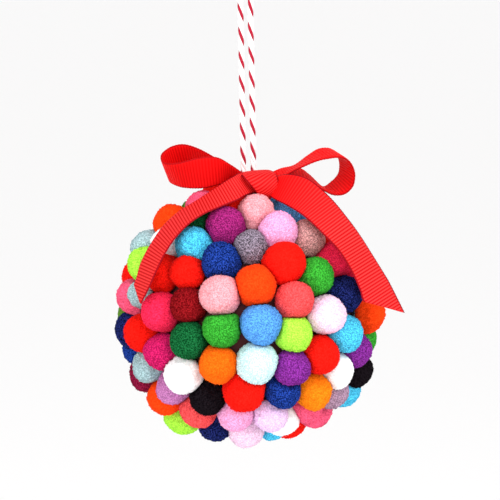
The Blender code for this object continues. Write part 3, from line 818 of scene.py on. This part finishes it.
def ribbon_material(name, colour, edge, groove, lift, full_rib):
    """Make a grosgrain finish: painted highlights on the ribs, painted shade in the grooves and a
    painted shade band along each edge.

    The groove's painted shade keeps a share of the ribbon's colour, and the lift is the white of
    a painted highlight on a rib's back, where it would catch the light. Ribs before the full rib
    get a fainter painted shade and highlight. The UV's first number runs across the ribbon from 0
    to 1 and its second counts the ribs.
    """
    material, tree, shader, place = new_material(name)
    link = tree.links.new
    lay = node(tree, "UVMap", "Ribbon's lay", uv_map="lay")
    split = node(tree, "SeparateXYZ", "Across and along")
    link(lay.outputs["UV"], split.inputs["Vector"])
    wave = node(tree, "Math", "Rib wave", operation="PINGPONG")
    wave.inputs[1].default_value = 0.5
    link(split.outputs["Y"], wave.inputs[0])
    weave = node(tree, "TexNoise", "Thread", (("Scale", 2400.0), ("Detail", 2.0)))
    link(place.outputs["Object"], weave.inputs["Vector"])
    body = np.array(colour)
    # Painted shade in the grooves and a painted highlight on the ribs' backs
    slope = body * (0.4 + 0.6 * groove) + 0.25 * lift
    rib = shade_ramp(tree, "Painted groove shade to rib highlight", wave.outputs["Value"],
                     ((0.0, body * groove), (0.22, slope), (0.5, np.clip(body + lift, 0.0, 1.0))))
    inward = node(tree, "Math", "From the nearer edge", operation="PINGPONG")
    inward.inputs[1].default_value = 0.5
    link(split.outputs["X"], inward.inputs[0])
    # Painted edge shade: a darker band along each edge of the ribbon
    rim = node(tree, "MapRange", "Painted edge shade",
               (("From Min", 0.026), ("From Max", 0.044), ("To Min", 1.0), ("To Max", 0.0)))
    link(inward.outputs["Value"], rim.inputs["Value"])
    edged = node(tree, "Mix", "Edge colour", data_type="RGBA")
    edged.inputs["B"].default_value = (*edge, 1.0)
    link(rim.outputs["Result"], edged.inputs["Factor"])
    weight = node(tree, "MapRange", "Away from the knot",
                  (("From Min", full_rib / 3.0), ("From Max", full_rib + 0.001),
                   ("To Min", 0.2), ("To Max", 1.0)))
    link(split.outputs["Y"], weight.inputs["Value"])
    # Near the knot the painted groove shade and rib highlight fade into the ribbon's plain colour
    faint = node(tree, "Mix", "Painted rib light fainter at the knot", data_type="RGBA")
    faint.inputs["A"].default_value = (*(body * 0.96), 1.0)
    link(weight.outputs["Result"], faint.inputs["Factor"])
    link(rib, faint.inputs["B"])
    link(faint.outputs["Result"], edged.inputs["A"])
    link(edged.outputs["Result"], shader.inputs["Base Color"])
    add_relief(tree, shader, "Thread relief", weave.outputs["Fac"], 0.35, 0.05 * MM)
    fill(shader, (("Roughness", 0.6), ("Specular IOR Level", 0.05)))
    return material


def rib_relief(ribs, share):
    """Return how high the ribs stand: round backs with narrow grooves, dying out at the edges."""
    back = np.abs(np.sin(math.pi * ribs)) ** 0.5
    margin = np.clip((0.5 - np.abs(share - 0.5)) / RIB_MARGIN, 0.0, 1.0)
    return back * margin


def ribbon_form(stations, near_cut, far_cut, sizes):
    """Return a ribbon's points, faces and UV: two ribbed faces carried along between its edges.

    Each station is a ring: lanes from the near edge to the far edge on one face and back on the
    other. A face stands half the thickness off the middle surface plus the rib relief, and each
    rib's thread turns round the edge in a small bump. Past the cut, which runs straight from the
    near edge's cut to the far edge's, rings are laid on the cut.
    """
    starts = [at_depth(c, r, d * MM) for c, r, _, _, d, _ in stations]
    near = smooth_curve(starts, LINE_STEPS)
    far = smooth_curve([at_reach(c, r, start, sizes.ribbon_width * kept)
                        for start, (_, _, c, r, _, kept) in zip(starts, stations)], LINE_STEPS)
    middle = (near + far) / 2.0
    run = run_along(middle)
    station = np.arange(len(run)) / LINE_STEPS
    cut_near, cut_far = np.interp((near_cut, far_cut), station, run)
    longest = max(cut_near, cut_far)
    stops = np.linspace(0.0, longest, int(round(longest / sizes.rib_pitch * RIB_STEPS)) + 1)
    even = np.linspace(0.0, 1.0, RIBBON_LANES)
    # Lanes lie closer together towards the edges
    share = 0.5 * (0.5 - 0.5 * np.cos(math.pi * even)) + 0.5 * even
    lie = np.minimum(stops[:, None], (cut_near + (cut_far - cut_near) * share)[None, :])
    across = points_along(far - near, run, lie)
    along = points_along(np.gradient(middle, axis=0), run, lie)
    middle = points_along(near, run, lie) + across * share[None, :, None]
    side = unit(across)
    out = unit(np.cross(side, along))
    ribs = lie / sizes.rib_pitch
    picot = PICOT * np.abs(np.sin(math.pi * ribs))
    stretch = (share - 0.5) * 2.0
    edge = np.abs(stretch) > 0.999
    middle = middle + side * (np.sign(stretch) * edge * picot)[..., None]
    lift = sizes.ribbon_thickness / 2.0 * (1.0 - EDGE_THINNING * edge)
    lift = lift + rib_relief(ribs, share[None, :]) * sizes.rib_height
    front = middle + out * lift[..., None]
    rear = middle - out * lift[..., None]
    ring = np.concatenate([front, rear[:, ::-1]], axis=1)
    count, lanes = ring.shape[:2]
    uv = np.empty((count, lanes, 2))
    uv[..., 0] = np.concatenate([share, share[::-1]])[None, :]
    uv[..., 1] = np.concatenate([ribs, ribs[:, ::-1]], axis=1)
    faces = grid_faces(count, lanes, True).tolist()
    faces.append(list(range(lanes))[::-1])
    faces.append([(count - 1) * lanes + lane for lane in range(lanes)])
    return ring.reshape(-1, 3) + BALL_CENTRE, faces, uv.reshape(-1, 2)


def closed_curve(points):
    """Return a smooth closed curve through the points, its first point given again at its end."""
    wrapped = [*points[-2:], *points, *points[:2]]
    curve = smooth_curve(wrapped, LINE_STEPS)
    return curve[2 * LINE_STEPS:(2 + len(points)) * LINE_STEPS + 1]


def knot_form(sizes):
    """Return the knot's wrapped band: a closed ring of ribbon, swollen between its two edges.

    Its edges are smooth closed curves. Between them the band is straight, swollen by a parabola
    and turned in at the edges by an eighth power. Its ribs sag by a parabola and slant.
    """
    left = closed_curve([at_depth(c, r, d * MM) for c, r, _, _, d, _ in KNOT_BAND])
    right = closed_curve([at_depth(c, r, d * MM) for _, _, c, r, _, d in KNOT_BAND])
    run = run_along((left + right) / 2.0)
    rib_count = int(round(run[-1] / sizes.rib_pitch))
    rounds = rib_count * RIB_STEPS + 1
    lie = np.linspace(0.0, run[-1], rounds)
    left, right = points_along(left, run, lie), points_along(right, run, lie)
    middle = (left + right) / 2.0
    along = np.empty_like(middle)
    along[:-1] = np.roll(middle[:-1], -1, axis=0) - np.roll(middle[:-1], 1, axis=0)
    along[-1] = along[0]
    out = unit(np.cross(right - left, along))
    heart = middle[:-1].mean(axis=0)
    out = out * np.sign(((middle - heart) * out).sum(axis=1))[:, None]
    span = np.linspace(-1.0, 1.0, KNOT_LANES)
    share = (span + 1.0) / 2.0
    sag = KNOT_SAG * (1.0 - span ** 2) - KNOT_SLANT * span
    ribs = (lie[:, None] - sag[None, :]) * (rib_count / run[-1])
    lift = (KNOT_CROWN * (1.0 - span ** 2) - KNOT_TUCK * np.abs(span) ** 8)[None, :]
    lift = lift + rib_relief(ribs, share[None, :]) * sizes.rib_height
    surface = (left[:, None, :] * (1.0 - share)[None, :, None]
               + right[:, None, :] * share[None, :, None] + out[:, None, :] * lift[..., None])
    points = surface.reshape(-1, 3)
    faces = grid_faces(rounds, KNOT_LANES, False).tolist()
    hub = len(points)
    ends = [left[:-1].mean(axis=0), right[:-1].mean(axis=0)]
    for step in range(rounds - 1):
        first, after = step * KNOT_LANES, (step + 1) * KNOT_LANES
        faces.append([hub, first, after])
        faces.append([hub + 1, after + KNOT_LANES - 1, first + KNOT_LANES - 1])
    uv = np.stack(np.broadcast_arrays(share[None, :], ribs), axis=-1).reshape(-1, 2)
    return np.vstack([points, ends]) + BALL_CENTRE, faces, np.vstack([uv, [[0.5, 0.0]] * 2])


def close_up(piece):
    """Join a piece's points that lie on one another, and turn its faces outwards."""
    form = bmesh.new()
    form.from_mesh(piece.data)
    bmesh.ops.remove_doubles(form, verts=form.verts[:], dist=0.001 * MM)
    bmesh.ops.recalc_face_normals(form, faces=form.faces[:])
    form.to_mesh(piece.data)
    form.free()


class ORNAMENT_OT_bow(Operator):
    """Add the ribbon bow: two loops, two tails and the knot."""

    bl_idname = "ornament.add_bow"
    bl_label = "Add ribbon bow"

    def execute(self, context):
        sizes = context.scene.ornament_sizes
        trim = context.scene.ornament_trim
        finishes = {
            part: ribbon_material("grosgrain_" + part, tuple(trim.ribbon),
                                  tuple(getattr(trim, edge)), groove, lift, full_rib)
            for part, edge, groove, lift, full_rib in RIBBON_FINISHES
        }
        for name, stations, near_cut, far_cut, length, held in RIBBON_STRETCHES:
            points, faces, uv = ribbon_form(stations, near_cut, far_cut, sizes)
            piece = mesh_piece("ribbon_" + name, points, faces, [finishes[name]], uv=uv)
            close_up(piece)
            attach(piece, "root")
            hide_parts("ribbon_bow")
        points, faces, uv = knot_form(sizes)
        knot = mesh_piece("ribbon_knot", points, faces, [finishes["knot"]], uv=uv)
        close_up(knot)
        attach(knot, "root")
        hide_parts("ribbon_bow")
        return {"FINISHED"}


def twine_route():
    """Return the twine's middle line: up one strand, round the eye and down the other."""
    foot = -BALL_DROP + PIT_RADIUS + SEAT_GAP
    eye_middle = -(EYE_RADIUS - TWINE_RADIUS)
    throat = eye_middle - EYE_LENGTH

    def middle_x(height):
        return BALL_SIDESTEP * height / foot

    side = [(STRAND_SPREAD_LOW, foot)]
    for share in STRAND_SHARES:
        side.append((STRAND_SPREAD, foot + (throat - foot) * share))
    for width, share in EYE_FLARE:
        side.append((width * EYE_RADIUS, throat + share * EYE_LENGTH))
    for angle in (0.0, 30.0, 60.0):
        turn = math.radians(angle)
        side.append((EYE_RADIUS * math.cos(turn), eye_middle + EYE_RADIUS * math.sin(turn)))
    left = [(middle_x(height) - spread, 0.0, height) for spread, height in side]
    crown = [(middle_x(eye_middle + EYE_RADIUS), 0.0, eye_middle + EYE_RADIUS)]
    right = [(middle_x(height) + spread, 0.0, height) for spread, height in reversed(side)]
    return left + crown + right


def cotton_material(name, colour):
    """Make a spun cotton finish with fine fibres that run along the ply."""
    material, tree, shader, _ = new_material(name)
    lay = node(tree, "UVMap", "Ply's lay", uv_map="lay")
    fibres = node(tree, "TexNoise", "Fibres", (("Scale", 9.0), ("Detail", 3.0)))
    tree.links.new(lay.outputs["UV"], fibres.inputs["Vector"])
    base = np.array(colour)
    spun = shade_ramp(tree, "Fibre shade", fibres.outputs["Fac"],
                      ((0.3, base * 0.78), (0.6, np.clip(base * 1.05, 0.0, BRIGHTEST))))
    tree.links.new(spun, shader.inputs["Base Color"])
    add_relief(tree, shader, "Fibre relief", fibres.outputs["Fac"], 0.5, 0.05 * MM)
    fill(shader, (("Roughness", 0.9), ("Specular IOR Level", 0.2), ("Sheen Weight", 0.3),
                  ("Sheen Roughness", 0.4)))
    return material


def twine_form(sizes):
    """Return the twine's points, faces, slots, UV and line: plies wound round the twine's line.

    Each ply's middle runs at a share of the twine's radius from the line and turns once a lay. The
    ply itself is a round tube whose radius is another such share, with small spun ridges.
    """
    line = smooth_curve(twine_route(), ROUTE_STEPS)
    line, stops = resample(line, TWINE_STEP)
    along = unit(np.gradient(line, axis=0))
    behind = np.array([0.0, 1.0, 0.0])
    aside = unit(np.cross(behind, along))
    depth = np.cross(along, aside)
    rounds = PLY_SIDES
    turn = np.arange(rounds) / rounds * 2.0 * math.pi
    points, faces, slots, uv, start = [], [], [], [], 0
    for ply in range(PLIES):
        phase = TWINE_START + ply * 2.0 * math.pi / PLIES - stops / sizes.twine_lay * 2.0 * math.pi
        outward = aside * np.cos(phase)[:, None] + depth * np.sin(phase)[:, None]
        middle = line + outward * PLY_OFFSET * sizes.twine_radius
        run = unit(np.gradient(middle, axis=0))
        first = unit(outward - run * (outward * run).sum(axis=1, keepdims=True))
        second = np.cross(run, first)
        spin = turn[None, :] - phase[:, None] * PLY_TWIST
        wave = PLY_RIDGES * turn[None, :] + phase[:, None] * RIDGE_TURNS
        ridge = 1.0 + RIDGE_HEIGHT * np.sin(wave)
        radius = PLY_SHARE * sizes.twine_radius * ridge
        ring = (middle[:, None, :] + first[:, None, :] * (np.cos(turn)[None, :] * radius)[..., None]
                + second[:, None, :] * (np.sin(turn)[None, :] * radius)[..., None])
        count = len(middle)
        quads = (grid_faces(count, rounds, True) + start).tolist()
        ends = [[start + side for side in range(rounds)][::-1],
                [start + (count - 1) * rounds + side for side in range(rounds)]]
        faces += quads + ends
        slots += [1 if ply == 0 else 0] * (len(quads) + 2)
        points.append(ring.reshape(-1, 3))
        lengthwise = stops[:, None] / sizes.twine_radius * FIBRES_ALONG
        lay = np.stack([np.sin(spin) * FIBRES_AROUND + ply * PLIES_APART,
                        np.broadcast_to(lengthwise, spin.shape)], axis=-1)
        uv.append(lay.reshape(-1, 2))
        start += count * rounds
    return np.vstack(points), faces, slots, np.vstack(uv), line, stops[-1]


class ORNAMENT_OT_twine(Operator):
    """Add the twisted twine that the ornament hangs by."""

    bl_idname = "ornament.add_twine"
    bl_label = "Add twine loop"

    def execute(self, context):
        sizes = context.scene.ornament_sizes
        trim = context.scene.ornament_trim
        points, faces, slots, uv, line, length = twine_form(sizes)
        finishes = [cotton_material("white_cotton", tuple(trim.twine_white)),
                    cotton_material("red_cotton", tuple(trim.twine_red))]
        piece = mesh_piece("hanging_twine", points, faces, finishes, slots=slots, uv=uv)
        close_up(piece)
        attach(piece, "root")
        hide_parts("twine")
        return {"FINISHED"}


FLOOR_DROP = 0.45              # from the ball's middle down to the floor
FLOOR_RINGS = (0.0, 0.4, 1.2, 3.0, 9.0, 90.0)
FLOOR_SIDES = 96
ROOM_COLOUR = (0.96, 0.955, 0.955, 1.0)
ROOM_STRENGTH = 1.0
KEY_PLACE = (0.34, -0.56, 0.34)
KEY_SIZE = 0.7
KEY_WATTS = 5.0
FILL_PLACE = (-0.28, -0.64, 0.04)
FILL_SIZE = 0.8
FILL_WATTS = 3.6


def add_soft_light(name, place, size, watts, aim):
    """Add a square soft light at a place, turned to its aim."""
    lamp = bpy.data.lights.new(name, "AREA")
    lamp.shape = "SQUARE"
    lamp.size = size
    lamp.energy = watts
    light = bpy.data.objects.new(name, lamp)
    light.location = place
    light.rotation_euler = (Vector(aim) - Vector(place)).to_track_quat("-Z", "Y").to_euler()
    bpy.context.scene.collection.objects.link(light)


class ORNAMENT_OT_stage(Operator):
    """Set up the photo's camera, a pale floor and soft studio light."""

    bl_idname = "ornament.set_stage"
    bl_label = "Set stage"

    def execute(self, context):
        right, up, towards = view_axes()
        centre = BALL_CENTRE + photo_aim()
        lens = bpy.data.cameras.new("photo_view")
        lens.sensor_width = SENSOR_WIDTH
        lens.lens = SENSOR_WIDTH * VIEW_DISTANCE / (PHOTO_PIXELS * METRES_PER_PIXEL)
        lens.clip_start, lens.clip_end = 0.01, 200.0
        camera = bpy.data.objects.new("photo_view", lens)
        camera.matrix_world = (Matrix.Translation(centre + towards * VIEW_DISTANCE)
                               @ Matrix((right, up, towards)).transposed().to_4x4())
        context.scene.collection.objects.link(camera)
        context.scene.camera = camera
        world = bpy.data.worlds.new("studio")
        world.use_nodes = True
        fill(world.node_tree.nodes["Background"],
             (("Color", ROOM_COLOUR), ("Strength", ROOM_STRENGTH)))
        context.scene.world = world
        context.scene.view_settings.view_transform = "Standard"
        add_soft_light("key_light", KEY_PLACE, KEY_SIZE, KEY_WATTS, BALL_CENTRE)
        add_soft_light("fill_light", FILL_PLACE, FILL_SIZE, FILL_WATTS, BALL_CENTRE)
        radii = np.array(FLOOR_RINGS)
        flat = (radii[:, None, None] * circle(FLOOR_SIDES)[None]).reshape(-1, 2)
        points = np.column_stack([flat, np.full(len(flat), BALL_CENTRE[2] - FLOOR_DROP)])
        faces = grid_faces(len(radii), FLOOR_SIDES, True).tolist()
        finish = plain_material("paper_floor", context.scene.ornament_trim.backdrop)
        floor = mesh_piece("paper_floor", points, faces, [finish])
        return {"FINISHED"}


class ORNAMENT_PT_panel(Panel):
    """List the ornament's operators and sizes."""

    bl_label = "Pompom ball ornament"
    bl_idname = "ORNAMENT_PT_panel"
    bl_space_type = "VIEW_3D"
    bl_region_type = "UI"
    bl_category = "Ornament"

    def draw(self, context):
        for step in STEPS:
            self.layout.operator(step.bl_idname)
        for group in ("ornament_sizes", "ornament_trim", "ornament_yarns"):
            holder = getattr(context.scene, group)
            for name in holder.__annotations__:
                self.layout.prop(holder, name)


STEPS = (ORNAMENT_OT_stage, ORNAMENT_OT_twine, ORNAMENT_OT_pompoms, ORNAMENT_OT_bow)
GROUPS = (("ornament_sizes", OrnamentSizes), ("ornament_trim", TrimColours),
          ("ornament_yarns", YarnColours))


def register():
    """Register the property groups, the operators and the panel."""
    for name, group in GROUPS:
        bpy.utils.register_class(group)
        setattr(bpy.types.Scene, name, PointerProperty(type=group))
    for item in (*STEPS, ORNAMENT_PT_panel):
        bpy.utils.register_class(item)


def unregister():
    """Take back what register made."""
    for item in (ORNAMENT_PT_panel, *reversed(STEPS)):
        bpy.utils.unregister_class(item)
    for name, group in reversed(GROUPS):
        delattr(bpy.types.Scene, name)
        bpy.utils.unregister_class(group)


def main():
    """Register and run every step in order."""
    register()
    for step in STEPS:
        group, name = step.bl_idname.split(".")
        getattr(getattr(bpy.ops, group), name)()


if __name__ == "__main__":
    main()
